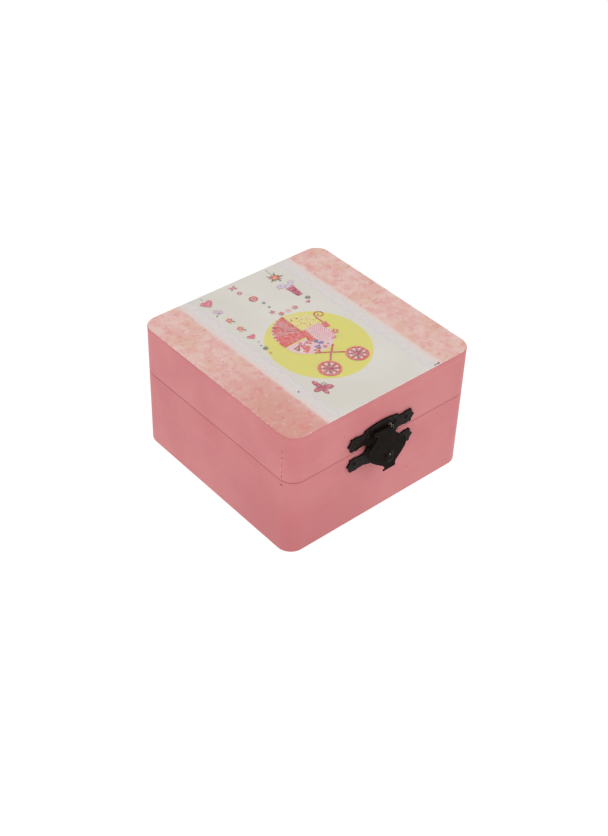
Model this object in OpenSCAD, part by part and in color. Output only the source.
// Ballerina jewellery box: a small painted wooden music box with a hinged lid.
// +Z is up, -Y is the front with the clasp, and the origin is the middle of the underside.

/* [Box] */
// Outside width, left to right
box_w = 100; // [100:1:104]
// Outside depth, front to back
box_d = 100; // [100:1:104]
// Height of the base, from the table to the rim
base_h = 38.5; // [38.5:0.5:40]
// Height of the lid, frame and top board together
lid_h = 23.25; // [23.25:0.25:26]
// Thickness of the side boards
wall = 6; // [5.5:0.25:6]
// Radius of the upright outside corners
corner_r = 7; // [6.5:0.25:8]
// Thickness of the plywood bottom and top boards
panel_t = 3; // [2.5:0.25:3]
// Gap between the closed lid and the base
seam_gap = 0.25; // [0.2:0.05:0.4]

/* [Clasp] */
// Middle of the clasp, measured from the middle of the front
clasp_x = -2.1; // [-5:0.1:5]
// Angle at which the hasp hangs out from the front
hasp_tilt = 16.5; // [15:0.5:20]
// Distance from the clasp's middle to each of its nails
lobe_x = 14; // [13.5:0.25:14.5]

/* [Hinges and key] */
// Distance from the middle of the back to each hinge
hinge_x = 28; // [26:1:30]
// Height of the winding key's shaft above the table
key_z = 21.5; // [21.5:0.1:21.6]
// Radius of the key's wings, across the shaft
key_reach = 10; // [9:0.5:10]

/* [Tray] */
// Front face of the compartment that hides the movement, from the box's middle
partition_y = 18.5; // [18:0.25:18.5]
// Number of padded rolls that hold rings
ring_rolls_count = 5; // [5:1:5]
// Side of the square lid mirror
mirror_side = 62; // [50:1:66]

/* [Dancer] */
// Radius of the tutu
tutu_r = 12.3; // [10:0.1:12.3]
// Radius of the bend in the dancer's spring when the lid is shut
bend_r = 5.2; // [5:0.1:5.2]

/* [Hidden] */
$fn = 48;

// Colours
paint_pink = [0.83, 0.50, 0.53];
print_cream = [0.90, 0.88, 0.84];
velvet = [0.76, 0.30, 0.40];
satin = [0.93, 0.74, 0.77];
bronze = [0.13, 0.11, 0.09];
steel = [0.70, 0.71, 0.72];
brass = [0.80, 0.65, 0.35];
skin_tone = [0.93, 0.78, 0.70];

// Levels in the box
inner_w = box_w - 2 * wall;
inner_d = box_d - 2 * wall;
lid_z = base_h + seam_gap;
top_z = base_h + lid_h + seam_gap;
ceiling_z = top_z - panel_t;
print_t = 0.15;
print_margin = 0.25;
lining_t = 0.6;
ceiling_t = 1.2;
mirror_t = 2;
floor_lining_t = 0.8;
floor_z = panel_t + floor_lining_t;
partition_t = 2.5;
deck_z = 34;
deck_t = 2.2;
deck_lining_t = 0.7;
deck_top = deck_z + deck_t + deck_lining_t;
divider_x = 6;
divider_t = 2.4;
divider_h = 20;
front_y = -box_d / 2;
back_y = box_d / 2;

// Fits
run = 0.06;      // radial clearance of a turning shaft
nail_r = 0.48;
nail_hole_r = 0.5;
nail_len = 5;
nail_head_r = 1.15;
nail_head_h = 0.45;

// Movement: its own frame is (u right, v up, w towards the front), with the
// winding arbor's axis as u = v = 0 and the bedplate's inner face as w = 0.
bed_t = 1.6;
bed_y = inner_d / 2 - bed_t;
module_mm = 0.5;
pitch = PI * module_mm;
addendum = 0.42;
dedendum = 0.55;
crown_teeth = 34;
pinion_teeth = 16;
end_gear_teeth = 20;
second_teeth = 10;
worm_wheel_teeth = 16;
crown_r = crown_teeth * module_mm / 2;
pinion_r = pinion_teeth * module_mm / 2;
end_gear_r = end_gear_teeth * module_mm / 2;
second_r = second_teeth * module_mm / 2;
worm_wheel_r = worm_wheel_teeth * module_mm / 2;
crown_root_w = 9;
crown_face = 0.8;                                  // half the crown teeth's radial width
cyl_w = crown_root_w + dedendum + pinion_r;        // height of the cylinder's axis over the bedplate
cyl_r = 5.5;
cyl_u0 = 13;
cyl_len = 17;
arbor_r = 1.5;
shaft_r = 0.9;
second_shaft_r = 0.7;
governor_drop = 2.4;                               // the governor wheel sits this far below the cylinder
governor_reach = sqrt(pow(end_gear_r + second_r, 2) - pow(governor_drop, 2));
governor_w = cyl_w - governor_drop;
governor_u = 36.2;
worm_r = 1.35;
worm_wave = 0.42;
worm_v0 = 3.5;
worm_len = 8;
worm_w = governor_w - worm_wheel_r - worm_r - 0.12;
spindle_y = bed_y - cyl_w;
rod_u = 41.6;
rod_r = 0.75;
screw_points = [[-10.8, -15.2], [-10.8, 10.6], [32, -15.2], [26, 10.6]];
comb_tines = 18;
comb_pitch = 0.92;
comb_tip_v = -(cyl_r + 0.6);
comb_heel_v = -13.6;
comb_back_v = -16.8;

// Dancer
spring_z = deck_top + 1.4;
spring_ring_r = 1.65;
spring_wire_r = 0.3;
rings_per_half = 5;
coil_step = 8.7;      // degrees of bend from one coil to the next
dancer_y = spindle_y - bend_r;
dancer_z = spring_z + bend_r;

// ---------- helpers ----------

// A rectangle with round corners, made of true arcs
module rounded_rect(w, d, r) {
    square([w - 2 * r, d], center = true);
    square([w, d - 2 * r], center = true);
    for (sx = [-1, 1], sy = [-1, 1]) translate([sx * (w / 2 - r), sy * (d / 2 - r)]) circle(r);
}

module outline(z0, z1) translate([0, 0, z0]) linear_extrude(z1 - z0) rounded_rect(box_w, box_d, corner_r);

// Local x stays x, local y is up and local z points out of the face
module on_front() translate([clasp_x, front_y, 0]) rotate([90, 0, 0]) children();
module on_back(x) translate([x, back_y, 0]) rotate([90, 0, 180]) children();
module in_movement() translate([0, bed_y, key_z]) rotate([90, 0, 0]) children();

// Turns a drawing in the XY plane so that its axis runs along the movement's u or v
module axis_u(u) translate([u, 0, 0]) rotate([90, 0, 90]) children();
module axis_v(v) translate([0, v, 0]) rotate([-90, 0, 0]) children();

function gear_points(n, r, root_w, tip_w, phase) = [
    for (k = [0 : n - 1], c = [0 : 3])
        let (a = k * 360 / n + phase,
             rad = (c == 0 || c == 3) ? r - dedendum : r + addendum,
             t = (c < 2 ? -1 : 1) * ((c == 0 || c == 3) ? root_w : tip_w) / 2)
        [rad * cos(a) - t * sin(a), rad * sin(a) + t * cos(a)]
];

module gear(n, thick, bore_r, phase, root_w = 0.86, tip_w = 0.3)
    difference() {
        linear_extrude(thick) polygon(gear_points(n, n * module_mm / 2, root_w, tip_w, phase));
        translate([0, 0, -1]) cylinder(r = bore_r, h = thick + 2);
    }

module nail() {
    cylinder(r1 = nail_head_r, r2 = nail_head_r * 0.55, h = nail_head_h);
    translate([0, 0, -nail_len]) cylinder(r = nail_r, h = nail_len + 0.01);
}

module nail_hole() translate([0, 0, -nail_len - 0.1]) cylinder(r = nail_hole_r, h = nail_len + 0.2);

// ---------- wooden case ----------

module end_board(side, z0, z1)
    intersection() {
        outline(z0, z1);
        translate([-box_w / 2, side > 0 ? back_y - wall : front_y, z0]) cube([box_w, wall, z1 - z0]);
    }

module side_board(side, z0, z1)
    intersection() {
        outline(z0, z1);
        translate([side > 0 ? box_w / 2 - wall : -box_w / 2, -inner_d / 2, z0])
            cube([wall, inner_d, z1 - z0]);
    }

module base_front_board() color(paint_pink)
    difference() {
        end_board(-1, 0, base_h);
        on_front() for (s = [-1, 1]) translate([s * lobe_x, catch_z, plate_t]) nail_hole();
    }

module base_back_board() color(paint_pink)
    difference() {
        end_board(1, 0, base_h);
        for (s = [-1, 1]) on_back(s * hinge_x) lower_nail_spots() nail_hole();
        on_back(0) translate([0, key_z, -wall - 1]) cylinder(r = 3.2, h = wall + 2);
        in_movement() for (p = screw_points) translate([p[0], p[1], -bed_t - 4.5]) cylinder(r = 0.8, h = 4.6);
    }

module base_left_board() color(paint_pink) side_board(-1, 0, base_h);
module base_right_board() color(paint_pink) side_board(1, 0, base_h);

module bottom_panel() color(paint_pink)
    translate([-inner_w / 2, -inner_d / 2, 0]) cube([inner_w, inner_d, panel_t]);

module lid_front_board() color(paint_pink)
    difference() {
        end_board(-1, lid_z, ceiling_z);
        on_front() for (s = [-1, 1]) translate([s * lobe_x, hasp_plate_z, plate_t]) nail_hole();
    }

module lid_back_board() color(paint_pink)
    difference() {
        end_board(1, lid_z, ceiling_z);
        for (s = [-1, 1]) on_back(s * hinge_x) upper_nail_spots() nail_hole();
    }

module lid_left_board() color(paint_pink) side_board(-1, lid_z, ceiling_z);
module lid_right_board() color(paint_pink) side_board(1, lid_z, ceiling_z);
module lid_top_panel() color(paint_pink) outline(ceiling_z, top_z);

module lid_print() color(print_cream)
    translate([0, 0, top_z]) linear_extrude(print_t)
        rounded_rect(box_w - 2 * print_margin, box_d - 2 * print_margin, corner_r - print_margin);

// ---------- linings, tray and mirror ----------

tray_w = inner_w - 2 * lining_t;
tray_y0 = -inner_d / 2 + lining_t;
tray_y1 = partition_y - lining_t;

module tray_floor_lining() color(velvet)
    translate([-tray_w / 2, tray_y0, panel_t]) cube([tray_w, tray_y1 - tray_y0, floor_lining_t]);

module tray_wall_lining() color(velvet)
    difference() {
        translate([-inner_w / 2, -inner_d / 2, panel_t])
            cube([inner_w, partition_y + inner_d / 2, base_h - panel_t - 0.4]);
        translate([-tray_w / 2, tray_y0, panel_t - 1]) cube([tray_w, box_d, base_h]);
    }

module tray_divider() color(velvet)
    translate([divider_x, tray_y0, floor_z]) cube([divider_t, tray_y1 - tray_y0, divider_h]);

roll_pitch = (tray_y1 - tray_y0) / ring_rolls_count;
roll_r = roll_pitch / 2 - 0.15;

module ring_rolls() color(velvet)
    for (k = [0 : ring_rolls_count - 1])
        translate([-tray_w / 2 + 0.2, tray_y0 + (k + 0.5) * roll_pitch, floor_z + roll_r])
            rotate([0, 90, 0]) cylinder(r = roll_r, h = tray_w / 2 + divider_x - 0.4);

module partition_board() color(paint_pink)
    translate([-inner_w / 2, partition_y, panel_t]) cube([inner_w, partition_t, deck_z - panel_t]);

module deck_holes(bush_r, hole_r) {
    translate([0, spindle_y, deck_z - 1]) cylinder(r = bush_r, h = 6);
    translate([rod_u, bed_y - worm_w, deck_z - 1]) cylinder(r = hole_r, h = 6);
}

module deck_board() color(paint_pink)
    difference() {
        translate([-inner_w / 2, partition_y, deck_z]) cube([inner_w, inner_d / 2 - partition_y, deck_t]);
        deck_holes(2.6, 1);
    }

module deck_lining() color(velvet)
    difference() {
        union() {
            translate([-inner_w / 2, partition_y, deck_z + deck_t])
                cube([inner_w, inner_d / 2 - partition_y, deck_lining_t]);
            translate([-tray_w / 2, tray_y1, panel_t]) cube([tray_w, lining_t, deck_top - panel_t]);
        }
        deck_holes(2.7, 1.2);
    }

module lid_ceiling_lining() color(satin)
    difference() {
        translate([-inner_w / 2, -inner_d / 2, ceiling_z - ceiling_t]) cube([inner_w, inner_d, ceiling_t]);
        translate([0, 0, ceiling_z])
            cube([mirror_side + 0.3, mirror_side + 0.3, 4 * ceiling_t], center = true);
    }

module lid_wall_lining() color(satin)
    translate([0, 0, lid_z + 0.5])
        difference() {
            linear_extrude(ceiling_z - ceiling_t - lid_z - 0.5) square([inner_w, inner_d], center = true);
            translate([0, 0, -1]) linear_extrude(lid_h)
                square([tray_w, inner_d - 2 * lining_t], center = true);
        }

module mirror_glass() translate([-mirror_side / 2, -mirror_side / 2, ceiling_z - mirror_t])
    cube([mirror_side, mirror_side, mirror_t]);

// ---------- hinges ----------

leaf_w = 16;
leaf_h = 9.4;
leaf_t = 0.8;
knuckle_r = 1.55;
hinge_pin_r = 0.8;
hinge_out = 1.7;
hinge_z = base_h + seam_gap / 2;
middle_knuckle = 5.2;

module lower_nail_spots() for (s = [-1, 1]) translate([s * 5, hinge_z - 5.6, leaf_t]) children();
module upper_nail_spots() for (s = [-1, 1]) translate([s * 5, hinge_z + 5.6, leaf_t]) children();

// A leaf with its knuckles, drawn upwards from the hinge pin; outer knuckles or the middle one
module leaf(up, outer) {
    clear = knuckle_r + 0.25;
    half = leaf_w / 2;
    translate([0, hinge_z, 0])
        difference() {
            union() {
                translate([-half, up > 0 ? 0 : -leaf_h, 0]) cube([leaf_w, leaf_h, leaf_t]);
                translate([-half, 0, hinge_out]) rotate([0, 90, 0]) cylinder(r = knuckle_r, h = leaf_w);
            }
            translate([-half - 1, 0, hinge_out]) rotate([0, 90, 0])
                cylinder(r = hinge_pin_r + 0.05, h = leaf_w + 2);
            if (outer)
                translate([-middle_knuckle / 2 - 0.1, -clear, -1]) cube([middle_knuckle + 0.2, 2 * clear, 8]);
            else
                for (s = [-1, 1])
                    translate([s > 0 ? middle_knuckle / 2 : -half - 1, -clear, -1])
                        cube([half + 1 - middle_knuckle / 2, 2 * clear, 8]);
            for (s = [-1, 1]) translate([s * 5, up * 5.6, -1]) cylinder(r = nail_hole_r, h = 4);
        }
}

module hinge_left_lower_leaf() color(bronze) on_back(-hinge_x) leaf(-1, true);
module hinge_left_upper_leaf() color(bronze) on_back(-hinge_x) leaf(1, false);
module hinge_right_lower_leaf() color(bronze) on_back(hinge_x) leaf(-1, true);
module hinge_right_upper_leaf() color(bronze) on_back(hinge_x) leaf(1, false);

module hinge_pins() color(bronze)
    for (s = [-1, 1]) on_back(s * hinge_x)
        translate([-leaf_w / 2 - 0.3, hinge_z, hinge_out]) rotate([0, 90, 0])
            cylinder(r = hinge_pin_r, h = leaf_w + 0.6);

// ---------- clasp ----------

plate_t = 0.9;
hasp_plate_z = 43.8;
catch_z = 33.1;
lobe_r = 3.35;
neck_h = 5.8;
plate_half = 9.4;
arch_r = 35;
arch_top_z = 49.1;
hasp_pivot_z = 44.6;
hasp_knuckle_r = 0.9;
hasp_out = plate_t + 0.1 + hasp_knuckle_r;
hasp_pin_r = 0.4;
hasp_top_w = 8.2;
hasp_len = 17;
hasp_t = 0.8;
ear_r = 1.15;
ear_w = 1.4;
ear_x = hasp_top_w / 2 + 0.9;

// The scalloped, pointed leaf at each end of a clasp plate
module lobe_outline(z) {
    for (s = [-1, 1]) translate([s * lobe_x, z]) {
        circle(lobe_r);
        for (a = [-50, 50]) translate([s * lobe_r * cos(a), lobe_r * sin(a)]) circle(0.75);
        polygon([[s * 2.6, 2.1], [s * 4.4, 0], [s * 2.6, -2.1]]);
        translate([-s * 3, 0]) square([4.6, neck_h], center = true);
    }
}

module lobe_holes(z) for (s = [-1, 1]) translate([s * lobe_x, z, -1]) cylinder(r = nail_hole_r, h = 4);

module hasp_plate() color(bronze) on_front() {
    low = hasp_plate_z - neck_h / 2;
    edge = lid_z + 0.1;
    difference() {
        union() {
            linear_extrude(plate_t) union() {
                intersection() {
                    translate([0, arch_top_z - arch_r]) circle(arch_r);
                    translate([-plate_half, low]) square([2 * plate_half, 10]);
                }
                polygon([[-plate_half, low], [plate_half, low], [7.7, edge], [-7.7, edge]]);
                lobe_outline(hasp_plate_z);
            }
            for (s = [-1, 1]) translate([s * ear_x - ear_w / 2, hasp_pivot_z, 0]) {
                translate([0, 0, hasp_out]) rotate([0, 90, 0]) cylinder(r = ear_r, h = ear_w);
                translate([0, -ear_r, plate_t / 2]) cube([ear_w, 2 * ear_r, hasp_out - plate_t / 2]);
                translate([ear_w / 2 + s * 2.6, 0.6, plate_t - 0.1]) cylinder(r1 = 1.1, r2 = 0.5, h = 0.7);
            }
        }
        lobe_holes(hasp_plate_z);
        translate([-8, hasp_pivot_z, hasp_out]) rotate([0, 90, 0]) cylinder(r = hasp_pin_r, h = 16);
    }
}

module hasp_pin() color(bronze) on_front()
    translate([-ear_x - ear_w / 2 - 0.2, hasp_pivot_z, hasp_out]) rotate([0, 90, 0])
        cylinder(r = hasp_pin_r, h = 2 * ear_x + ear_w + 0.4);

// Half the hasp's outline, from the pin downwards: [distance below the pin, half width]
hasp_half = [[0, 4.1], [1.7, 4.3], [2.4, 5.4], [4.6, 7.6], [6.3, 9.9], [7.7, 10.6], [9.5, 10.3], [10.8, 9.4],
             [12.6, 7.1], [14.4, 4.4], [15.3, 3.1], [hasp_len, 2.5]];
lip_w = 5.6;
lip_len = 2.1;

function mirrored(p) = [p[1], p[0]];

module hasp() color(bronze) on_front()
    translate([0, hasp_pivot_z, hasp_out]) rotate([-hasp_tilt, 0, 0])
        difference() {
            union() {
                rotate([0, 90, 0]) translate([0, 0, -hasp_top_w / 2])
                    cylinder(r = hasp_knuckle_r, h = hasp_top_w);
                translate([0, 0, hasp_knuckle_r - hasp_t]) linear_extrude(hasp_t)
                    polygon(concat([for (p = hasp_half) [p[1], -p[0]]],
                                   [for (k = [1 : len(hasp_half)]) -mirrored(hasp_half[len(hasp_half) - k])]));
                translate([0, -11.8, hasp_knuckle_r - 0.1]) cylinder(r1 = 3.1, r2 = 1.6, h = 0.9);
                translate([-lip_w / 2, -hasp_len, hasp_knuckle_r]) rotate([50, 0, 0])
                    translate([0, -lip_len, -hasp_t]) cube([lip_w, lip_len + 0.3, hasp_t]);
            }
            rotate([0, 90, 0]) cylinder(r = hasp_pin_r + run, h = 30, center = true);
        }

// The catch stands 0.1 short of the back of the closed hasp
catch_bump_r = 1.4;

module catch_plate() color(bronze) on_front() {
    edge = base_h - 0.1;
    low = catch_z - neck_h / 2;
    high = catch_z + neck_h / 2;
    difference() {
        union() {
            linear_extrude(plate_t) union() {
                polygon([[-7.7, edge], [7.7, edge], [plate_half, high], [plate_half, low], [5, low - 1.3],
                         [-5, low - 1.3], [-plate_half, low], [-plate_half, high]]);
                lobe_outline(catch_z);
            }
            translate([-3, 33.4, plate_t - 0.4]) intersection() {
                rotate([0, 90, 0]) cylinder(r = catch_bump_r, h = 6);
                translate([-1, -3, 0]) cube([8, 6, 3]);
            }
        }
        lobe_holes(catch_z);
    }
}

module case_nails() color(bronze) {
    on_front() for (s = [-1, 1]) translate([s * lobe_x, catch_z, plate_t]) nail();
    for (s = [-1, 1]) on_back(s * hinge_x) lower_nail_spots() nail();
}

module lid_nails() color(bronze) {
    on_front() for (s = [-1, 1]) translate([s * lobe_x, hasp_plate_z, plate_t]) nail();
    for (s = [-1, 1]) on_back(s * hinge_x) upper_nail_spots() nail();
}

// ---------- movement: frame and spring ----------

module bedplate() color(steel) in_movement()
    difference() {
        union() {
            translate([-13, -17.2, -bed_t]) cube([56.2, 29.6, bed_t]);
            translate([34, -14.6, -0.1]) cube([4.6, 1.2, worm_w + 2.2]);
            translate([40, 1, -0.1]) cube([3.2, 1.2, worm_w + 1.8]);
        }
        translate([0, 0, -bed_t - 1]) cylinder(r = arbor_r + run, h = bed_t + 2);
        for (p = screw_points) translate([p[0], p[1], -bed_t - 1]) cylinder(r = 0.85, h = bed_t + 2);
        translate([governor_u, 0, worm_w]) axis_v(-15) cylinder(r = 0.4, h = 3);
        translate([rod_u, 0, worm_w]) axis_v(0) cylinder(r = rod_r + run, h = 3);
    }

module movement_screws() color(brass) in_movement() {
    for (p = screw_points) translate([p[0], p[1], 0]) {
        cylinder(r = 1.5, h = 0.9);
        translate([0, 0, -bed_t - 4.4]) cylinder(r = 0.76, h = bed_t + 4.5);
    }
    for (u = [16.5, 26.5]) translate([u, (comb_heel_v + comb_back_v) / 2, cyl_w + 0.3]) {
        cylinder(r = 1.35, h = 0.9);
        translate([0, 0, -5]) cylinder(r = 0.66, h = 5.1);
    }
}

module spring_housing() color(brass) in_movement()
    difference() {
        cylinder(r = 9.6, h = 7.4);
        translate([0, 0, -1]) cylinder(r = 9, h = 7.8);
        cylinder(r = 1.7, h = 9);
    }

spiral_turns = 5;
spiral_steps = 24;
spiral_r0 = 2.4;
spiral_r1 = 8.5;
function spiral_at(k, shift) =
    let (a = k * 360 / spiral_steps,
         r = spiral_r0 + (spiral_r1 - spiral_r0) * k / (spiral_turns * spiral_steps))
    [(r + shift) * cos(a), (r + shift) * sin(a)];

module mainspring() color(steel) in_movement()
    translate([0, 0, 0.5]) linear_extrude(5.8)
        polygon(concat([for (k = [0 : spiral_turns * spiral_steps]) spiral_at(k, 0)],
                       [for (k = [spiral_turns * spiral_steps : -1 : 0]) spiral_at(k, 0.3)]));

tooth_h = addendum + dedendum;

module great_wheel() color(brass) in_movement()
    difference() {
        union() {
            translate([0, 0, crown_root_w - 1.2]) cylinder(r = crown_r + crown_face, h = 1.2);
            for (k = [0 : crown_teeth - 1])
                rotate((k + 0.5) * 360 / crown_teeth)
                    translate([crown_r - crown_face, 0, crown_root_w]) rotate([90, 0, 90])
                        linear_extrude(2 * crown_face - 0.06)
                            polygon([[-0.4, -0.1], [0.4, -0.1], [0.13, tooth_h], [-0.13, tooth_h]]);
        }
        cylinder(r = arbor_r, h = 20);
    }

key_len = 16.5;

module winding_arbor() color(steel) in_movement() {
    outside = bed_t + wall + 7.5;
    translate([0, 0, -outside]) cylinder(r = arbor_r - 0.01, h = outside + crown_root_w + 1.2);
    translate([0, 0, 0.5]) cylinder(r = 2.2, h = 5.8);
    translate([0, 0, crown_root_w + 0.01]) cylinder(r = 2.4, h = 0.7);
}

module winding_key() color(brass) on_back(0) translate([0, key_z, 0])
    difference() {
        union() {
            translate([0, 0, 0.6]) cylinder(r = 2.5, h = 7.4);
            rotate([90, 0, 0]) translate([0, 0, -0.8]) linear_extrude(1.6) {
                for (s = [-1, 1]) translate([s * (key_reach - 4.9), key_len - 4.9]) circle(4.9);
                translate([-3, 6.8]) square([6, 5]);
            }
        }
        cylinder(r = arbor_r + 0.01, h = 7.51);
        for (s = [-1, 1])
            translate([s * (key_reach - 4.9), 5, key_len - 4.9]) rotate([90, 0, 0]) cylinder(r = 2.6, h = 10);
    }

// ---------- movement: cylinder and comb ----------

module pinned_cylinder() color(brass) in_movement() translate([0, 0, cyl_w]) {
    axis_u(cyl_u0) cylinder(r = cyl_r, h = cyl_len);
    axis_u(5.4) cylinder(r = shaft_r, h = 29);
}

module cylinder_pins() color(steel) in_movement() translate([0, 0, cyl_w])
    for (t = [0 : comb_tines - 1], k = [0 : 2])
        translate([cyl_u0 + 0.68 + t * comb_pitch, 0, 0])
            rotate([(t * 137 + k * 101 + 40) % 360, 0, 0])
                translate([0, 0, cyl_r + 0.01]) cylinder(r = 0.18, h = 0.45, $fn = 16);

// One tooth of the pinion points at the crown teeth; a gap of the end gear points at the governor's pinion
governor_dir = atan2(-governor_drop, governor_reach);

module cylinder_gears() color(brass) in_movement() translate([0, 0, cyl_w]) {
    axis_u(crown_r - crown_face) gear(pinion_teeth, 2 * crown_face, shaft_r + 0.01, -90);
    axis_u(30.6) gear(end_gear_teeth, 1.4, shaft_r + 0.01, governor_dir + 180 / end_gear_teeth);
}

module cylinder_bearing() color(brass) in_movement()
    difference() {
        translate([10.6, -3, 0]) cube([1.6, 6, cyl_w + 2]);
        translate([0, 0, cyl_w]) axis_u(10) cylinder(r = shaft_r + run, h = 3);
    }

module comb() color(steel) in_movement() {
    tine_w = 0.62;
    translate([cyl_u0 + 0.68, 0, cyl_w - 0.3])
        difference() {
            linear_extrude(0.6) polygon(concat(
                [for (t = [0 : comb_tines - 1], c = [0 : 3])
                    let (u = t * comb_pitch + (c < 2 ? -1 : 1) * tine_w / 2)
                    [u, (c == 0 || c == 3) ? comb_heel_v + t * 0.07 : comb_tip_v]],
                [[comb_tines * comb_pitch, comb_heel_v], [comb_tines * comb_pitch, comb_back_v],
                 [-0.9, comb_back_v], [-0.9, comb_heel_v]]));
            for (u = [16.5, 26.5])
                translate([u - cyl_u0 - 0.68, (comb_heel_v + comb_back_v) / 2, -1]) cylinder(r = 0.7, h = 3);
        }
}

module comb_base() color(brass) in_movement()
    difference() {
        translate([cyl_u0, comb_back_v, 0]) cube([cyl_len, comb_heel_v - comb_back_v - 0.1, cyl_w - 0.3]);
        for (u = [16.5, 26.5])
            translate([u, (comb_heel_v + comb_back_v) / 2, cyl_w - 5.5]) cylinder(r = 0.7, h = 6);
    }

// ---------- movement: governor ----------

module governor_frame() color(brass) in_movement()
    difference() {
        union() {
            translate([33, -3, 0]) cube([1.2, 15.4, cyl_w + 2.2]);
            translate([39.4, 3.5, 0]) cube([1.2, 8.9, cyl_w + 2.2]);
            translate([33, 11.7, 0]) cube([7.6, 0.7, cyl_w + 2.2]);
        }
        translate([0, 0, cyl_w]) axis_u(32) cylinder(r = shaft_r + run, h = 3);
        translate([0, governor_reach, governor_w]) axis_u(32) cylinder(r = second_shaft_r + run, h = 10);
        translate([governor_u, 0, worm_w]) axis_v(11) cylinder(r = 0.4, h = 3);
    }

module governor_wheel() color(brass) in_movement() translate([0, governor_reach, governor_w]) {
    axis_u(30.4) cylinder(r = second_shaft_r, h = 10.2);
    axis_u(30.7) gear(second_teeth, 1.2, 0.5, governor_dir + 180);
    axis_u(governor_u - 0.4) gear(worm_wheel_teeth, 0.8, 0.5, -90, 0.7, 0.22);
}

fan_r = 4;
fan_v0 = -12;
fan_v1 = -4;
// The worm's valley faces the wheel at the height of the wheel's axis
worm_phase = 90 - (governor_reach - worm_v0) * 360 / pitch;

module fan_shaft() color(steel) in_movement() translate([governor_u, 0, worm_w]) {
    axis_v(-13.3) cylinder(r = 0.6, h = 24.8);
    axis_v(-14.5) cylinder(r = 0.35, h = 26.8);
    axis_v(worm_v0) linear_extrude(worm_len, twist = -360 * worm_len / pitch, slices = 80, $fn = 16)
        rotate(worm_phase) translate([worm_wave, 0]) circle(worm_r);
    axis_v(fan_v0) {
        cylinder(r = 1.2, h = fan_v1 - fan_v0);
        translate([-fan_r, -0.2, 0]) cube([2 * fan_r, 0.4, fan_v1 - fan_v0]);
    }
}

// The lid holds this rod down, and its foot then brakes the fan
module stop_rod() color(steel) in_movement() translate([0, 0, worm_w]) {
    translate([rod_u, 0, 0]) axis_v(-3.6) cylinder(r = rod_r, h = ceiling_z - ceiling_t - 0.4 - key_z + 3.6);
    translate([governor_u + 1, -3.6, -0.5]) cube([rod_u - governor_u - 1, 0.9, 1]);
}

// ---------- dancer and her drive ----------

module spindle() color(brass) in_movement() translate([0, 0, cyl_w]) {
    axis_v(5.5) cylinder(r = 1.2, h = deck_top + 0.8 - key_z - 5.5);
    axis_v(crown_r - crown_face)
        gear(pinion_teeth, 2 * crown_face, 1, 90 + 180 / pinion_teeth);
    axis_v(deck_top + 0.65 - key_z) cylinder(r = 2.3, h = spring_z - spring_wire_r - 0.05 - deck_top - 0.65);
    axis_v(deck_top + 0.7 - key_z) cylinder(r = 1.1, h = 1.7);
}

module spindle_bracket() color(brass) in_movement()
    difference() {
        translate([-4, 10.4, 0]) cube([8, 1.4, cyl_w + 3.4]);
        translate([0, 0, cyl_w]) axis_v(10) cylinder(r = 1.2 + run, h = 3);
    }

module spindle_bush() color(brass) translate([0, spindle_y, 0])
    difference() {
        union() {
            translate([0, 0, deck_z]) cylinder(r = 2.55, h = deck_top - deck_z + 0.1);
            translate([0, 0, deck_top + 0.02]) cylinder(r = 3.8, h = 0.5);
        }
        translate([0, 0, deck_z - 1]) cylinder(r = 1.2 + run, h = 6);
    }

// One half of the spring's coils, along its quarter-circle bend from the spindle to the ferrule
module spring_coils(start)
    for (k = [0 : rings_per_half - 1])
        translate([0, spindle_y - bend_r, spring_z]) rotate([start + (k + 0.5) * coil_step, 0, 0])
            translate([0, bend_r, 0])
                rotate_extrude() translate([spring_ring_r, 0]) circle(spring_wire_r, $fn = 16);

module dancer_spring_lower() color(steel) spring_coils(0);
module dancer_spring_upper() color(steel) spring_coils(90 - rings_per_half * coil_step);

// The dancer lies with her head to the front; local z runs from her foot to her hands
module along_dancer() translate([0, dancer_y, dancer_z]) rotate([90, 0, 0]) children();

ferrule_len = 2.6;

module spring_ferrule() color(brass) along_dancer()
    difference() {
        translate([0, 0, spring_wire_r + 0.05]) cylinder(r = 2.2, h = ferrule_len);
        translate([0, 0, 0.9]) cylinder(r = 0.8, h = 4);
    }

foot_z = 4.2;

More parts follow.
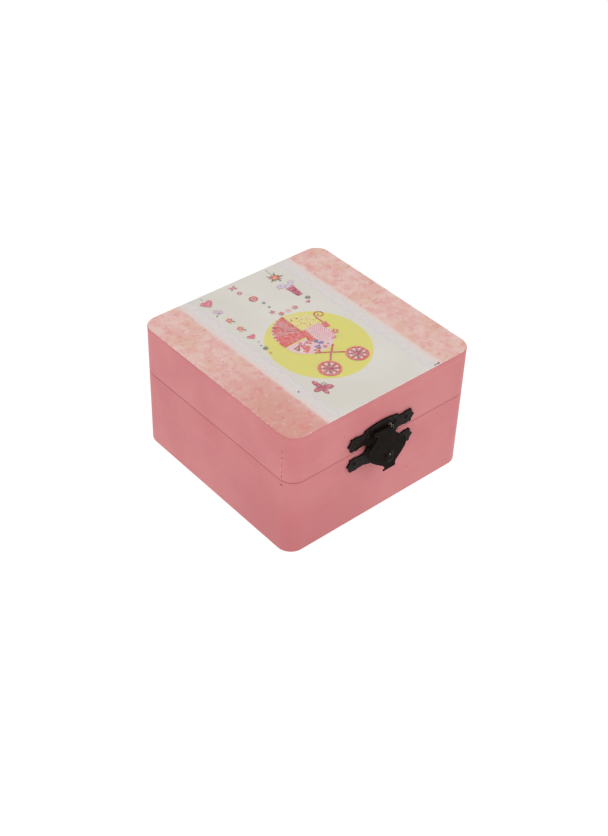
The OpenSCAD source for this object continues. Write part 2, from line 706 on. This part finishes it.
module dancer_body() color(skin_tone) along_dancer() {
    translate([0, 0, 1.1]) cylinder(r = 0.74, h = 2);
    translate([0, 0, 3.05]) cylinder(r = 2.6, h = 1.2);
    for (s = [-1, 1]) {
        translate([s * 0.75, 0, foot_z]) cylinder(r1 = 0.55, r2 = 0.95, h = 9);
        translate([s * 0.75, 0, foot_z + 9]) cylinder(r1 = 0.95, r2 = 1.25, h = 7.5);
        // Raised arms: each is an arc from the shoulder to the hands over the head
        translate([s * 0.6, 0, 35]) rotate([90, 0, 0]) rotate([0, 0, s > 0 ? -75 : 105])
            rotate_extrude(angle = 150) translate([5.4, 0]) circle(0.62, $fn = 20);
    }
    translate([0, 0, 20.2]) rotate_extrude()
        polygon([[0, 0], [1.9, 0], [2.15, 1.5], [1.9, 3.4], [1.6, 4.6], [2.1, 6.4], [2.5, 8.6], [2.3, 9.9],
                 [1.2, 11.2], [0.8, 12], [0.75, 13.2], [0, 13.2]]);
    translate([-3.4, 0, 29.6]) rotate([0, 90, 0]) cylinder(r = 0.8, h = 6.8);
    translate([0, 0, 34.6]) sphere(2.2);
    translate([0, 0.6, 36.9]) sphere(1.1);
}

module dancer_tutu() color(satin) along_dancer()
    translate([0, 0, 21.6]) rotate_extrude()
        polygon([[2.3, -0.6], [6, -1.1], [tutu_r, -1.6], [tutu_r, 0.1], [6, 0.9], [2.3, 1.2]]);

base_front_board();
base_back_board();
base_left_board();
base_right_board();
bottom_panel();
tray_floor_lining();
tray_wall_lining();
tray_divider();
ring_rolls();
partition_board();
deck_board();
deck_lining();
lid_front_board();
lid_back_board();
lid_left_board();
lid_right_board();
lid_top_panel();
lid_print();
lid_ceiling_lining();
lid_wall_lining();
color(steel) mirror_glass();  // mirror
hinge_left_lower_leaf();
hinge_left_upper_leaf();
hinge_right_lower_leaf();
hinge_right_upper_leaf();
hinge_pins();
catch_plate();
hasp_plate();
hasp();
hasp_pin();
case_nails();
lid_nails();
bedplate();
movement_screws();
spring_housing();
mainspring();
great_wheel();
winding_arbor();
winding_key();
pinned_cylinder();
cylinder_pins();
cylinder_gears();
cylinder_bearing();
comb();
comb_base();
governor_frame();
governor_wheel();
fan_shaft();
spindle();
spindle_bracket();
spindle_bush();
stop_rod();
dancer_spring_lower();
dancer_spring_upper();
spring_ferrule();
dancer_body();
dancer_tutu();
